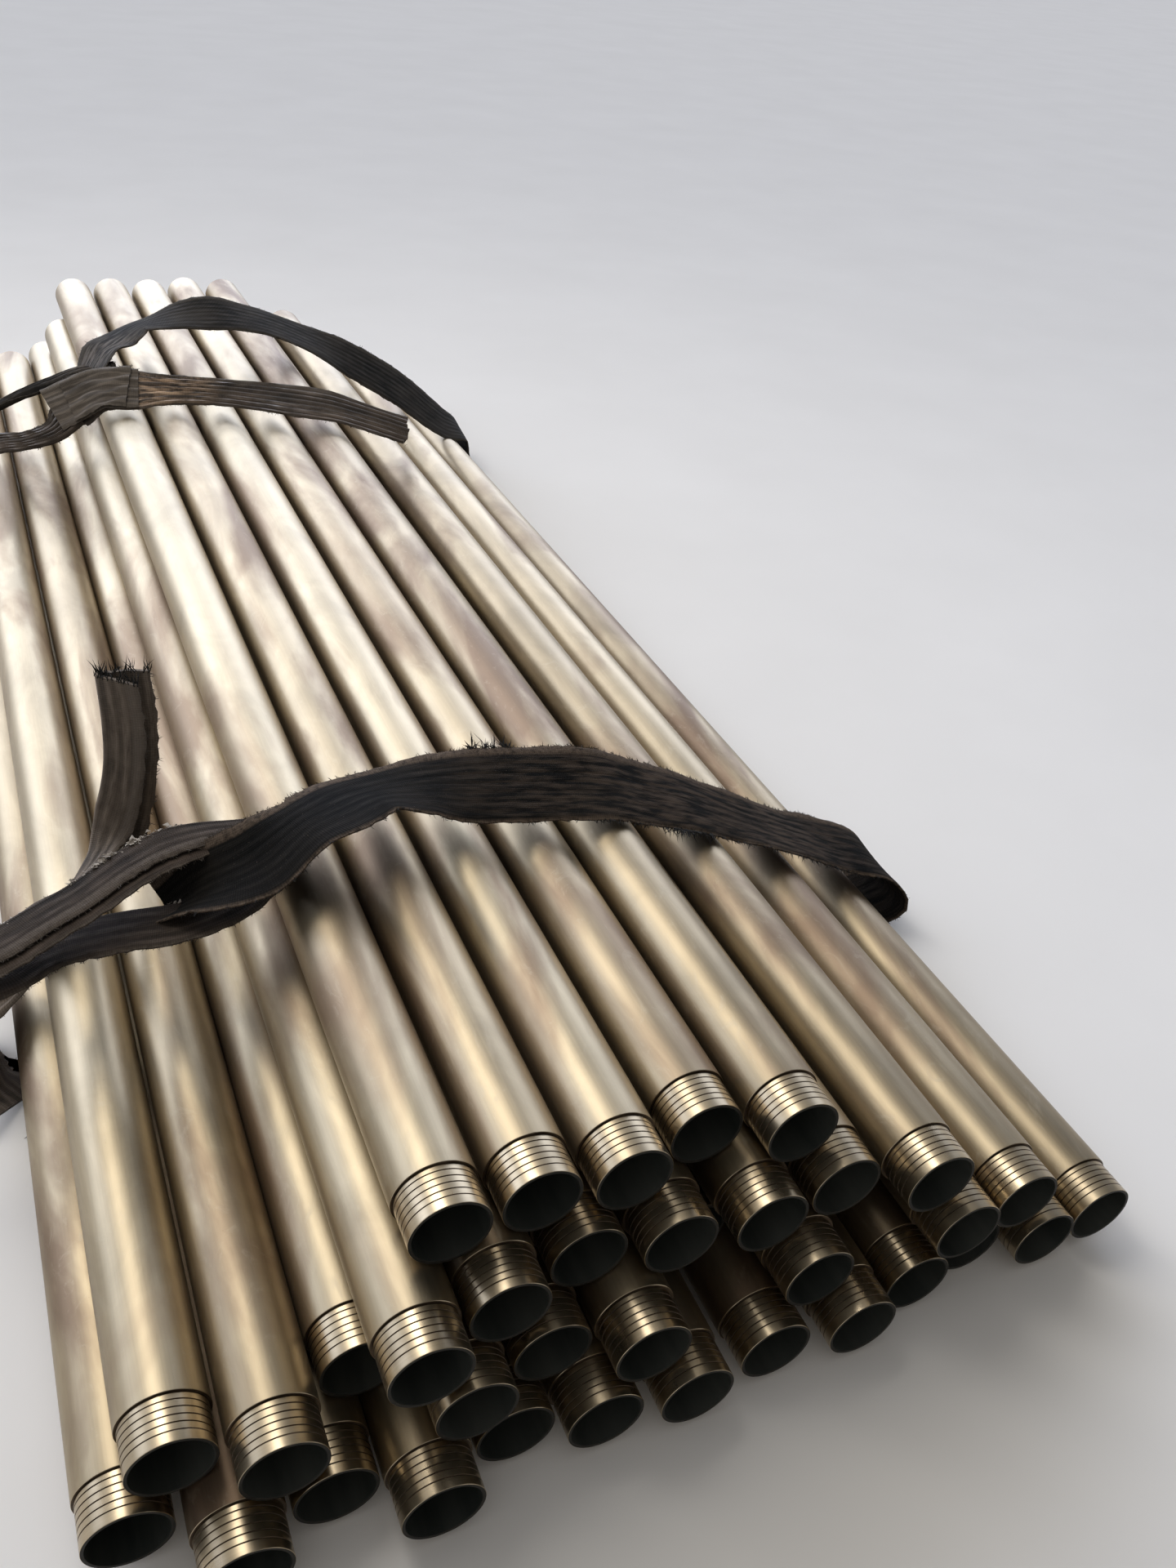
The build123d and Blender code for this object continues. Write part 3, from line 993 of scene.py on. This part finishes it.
def make_near_sling():
    made = ribbons(near_routes(), 11, ragged={"stub": 5.0}, waves={"body": 0.25})
    piece = joined("near_sling_webbing", list(made.values()), [NEAR_STUB, NEAR_BODY, NEAR_EYE])
    stub, body, eye = made["stub"], made["body"], made["eye"]
    fray = Fray(5)
    near_edge, far_edge = body.borders
    fray.along_edge(near_edge, 520, 5, slot=DARK_SLOT)
    fray.along_edge(near_edge, 260, 7.5, 0.5, (0.60, 1.02), slot=DARK_SLOT)
    fray.along_edge(near_edge, 110, 13, 0.6, (0.70, 0.775), slot=DARK_SLOT)
    fray.along_edge(far_edge, 900, 4.5, 0.4, (0.10, 1.02))
    fray.along_edge(far_edge, 200, 5)
    for share in (0.497, 0.520, 0.538):
        fray.along_edge(far_edge, 26, 17, 0.9, (share - 0.006, share + 0.006), 0.7, slot=DARK_SLOT)
    for border in eye.borders:
        fray.along_edge(border, 320, 4.5, 0.4)
    for border in stub.borders:
        fray.along_edge(border, 160, 5, 0.4)
    fray.tip(stub, 110, 15, 0.7, slot=DARK_SLOT)
    fray.chips(eye, 120, (0.03, 0.17), 2.0)
    fray.chips(eye, 60, (0.108, 0.124), 3.0)
    fray.chips(eye, 60, (0.072, 0.094), 2.6)
    fray.chips(eye, 24, (0.150, 0.170), 2.6)
    fray.chips(eye, 14, (-0.09, 0.0), 2.0)
    threads = fray.finish("near_sling_threads", [THREADS, CHIPS, DARK_THREADS])
    declare(piece, threads, "near_sling")


def make_far_sling():
    routes, patch_route = far_routes()
    made = ribbons(routes, 31, ragged={"lying": 4.0}, waves={"lying": 3.25})
    pieces = list(made.values())
    patches = ((41, (0.168, 0.318, 122), 6.0, 24), (42, (0.196, 0.304, 119), 11.0, 18))
    for seed, part, offset, slant in patches:
        pieces.append(webbing(patch_route, seed, PATCH_THICKNESS, part, offset, slant=slant))
    piece = joined("far_sling_webbing", pieces, [FAR_ARCH, FAR_STRAP, FAR_ARCH, PATCH, PATCH])
    fray = Fray(6)
    for name, count in (("arch", 420), ("lying", 300), ("tail", 100)):
        for border in made[name].borders:
            fray.along_edge(border, count, 4, 0.4)
    for patch in pieces[len(made):]:
        for border in patch.borders:
            fray.along_edge(border, 60, 5, 0.4)
    threads = fray.finish("far_sling_threads", [THREADS, CHIPS, DARK_THREADS])
    declare(piece, threads, "far_sling")


make_near_sling()
make_far_sling()


# Floor, lamps and world
def make_stage():
    mesh = bpy.data.meshes.new("floor")
    side = 60
    corners = [(-side, -side, 0), (side, -side, 0), (side, side, 0), (-side, side, 0)]
    mesh.from_pydata(corners, [], [(0, 1, 2, 3)])
    floor = bpy.data.objects.new("floor", mesh)
    bpy.context.scene.collection.objects.link(floor)
    s = Shader("floor")
    light = s.nodes.new("ShaderNodeLightPath")
    shown = s.math("MAXIMUM", light.outputs["Is Camera Ray"], light.outputs["Is Glossy Ray"])
    pale = s.ramp(s.noise(2, 3), (0.3, (0.875, 0.850, 0.815)), (0.7, (0.905, 0.880, 0.845)))
    s.into(s.mix(shown, (0.42, 0.41, 0.39), pale), "Base Color")
    s.set(Roughness=0.9, Specular_IOR_Level=0.0)
    mesh.materials.append(s.material)


def lamp(name, place, target, size, power, colour):
    data = bpy.data.lights.new(name, "AREA")
    data.shape = "RECTANGLE"
    data.size, data.size_y = size
    data.energy = power
    data.color = colour
    thing = bpy.data.objects.new(name, data)
    bpy.context.scene.collection.objects.link(thing)
    thing.location = place
    thing.rotation_euler = (Vector(target) - Vector(place)).to_track_quat("-Z", "Y").to_euler()


def make_world():
    """Soft hall light: a bright window band beyond the plain ends, a warm roof and a dim front."""
    world = bpy.data.worlds.new("world")
    world.use_nodes = True
    tree = world.node_tree
    place = tree.nodes.new("ShaderNodeTexCoord").outputs["Generated"]
    split = tree.nodes.new("ShaderNodeSeparateXYZ")
    tree.links.new(place, split.inputs["Vector"])

    def ramp(source, low, high, *stops):
        node = tree.nodes.new("ShaderNodeMapRange")
        node.inputs["From Min"].default_value = low
        node.inputs["From Max"].default_value = high
        tree.links.new(source, node.inputs["Value"])
        colours = tree.nodes.new("ShaderNodeValToRGB")
        while len(colours.color_ramp.elements) < len(stops):
            colours.color_ramp.elements.new(0.5)
        for element, (at, colour) in zip(colours.color_ramp.elements, stops):
            element.position = at
            element.color = (*colour, 1)
        tree.links.new(node.outputs["Result"], colours.inputs["Fac"])
        return colours.outputs["Color"]

    def times(a, b, kind="MULTIPLY"):
        node = tree.nodes.new("ShaderNodeMix")
        node.data_type = "RGBA"
        node.blend_type = kind
        node.inputs["Factor"].default_value = 1
        node.clamp_result = False
        for socket, value in ((node.inputs["A"], a), (node.inputs["B"], b)):
            if isinstance(value, tuple):
                socket.default_value = (*value, 1)
            else:
                tree.links.new(value, socket)
        return node.outputs["Result"]

    black, white = (0, 0, 0), (1, 1, 1)
    front, middle, back = (0.33, 0.325, 0.32), (0.52, 0.51, 0.50), (0.68, 0.665, 0.64)
    roof = ramp(split.outputs["Y"], -1, 1, (0.05, front), (0.5, middle), (0.85, back))
    left_grey, right_grey, low_grey, wall = (0.45,) * 3, (0.16,) * 3, (0.35,) * 3, (0.62, 0.62, 0.615)
    sides = ramp(
        split.outputs["X"], -1, 1, (0.04, left_grey), (0.30, white), (0.48, white), (0.82, right_grey)
    )
    rise = times(ramp(split.outputs["Z"], -0.05, 0.5, (0.0, low_grey), (1.0, white)), sides)
    band = ramp(split.outputs["Z"], 0, 1, (0.08, black), (0.20, white), (0.44, white), (0.60, black))
    ahead = ramp(split.outputs["Y"], -1, 1, (0.70, black), (0.88, white))
    daylight = (3.9, 4.35, 5.4)
    window = times(times(band, ahead), daylight)
    walls = ramp(split.outputs["Z"], -0.05, 0.30, (0.0, wall), (0.55, wall), (1.0, black))
    colour = times(times(times(roof, rise), walls, "LIGHTEN"), window, "ADD")
    tree.links.new(colour, tree.nodes["Background"].inputs["Color"])
    bpy.context.scene.world = world


def make_lights():
    lamp(
        "roof_light",
        place=(-1.0, 0.7, 3.3),
        target=(-0.1, -0.5, 0),
        size=(1.1, 2.4),
        power=42,
        colour=(1.0, 0.97, 0.92),
    )
    make_world()


make_stage()
make_lights()
bpy.context.scene.view_settings.view_transform = "Standard"
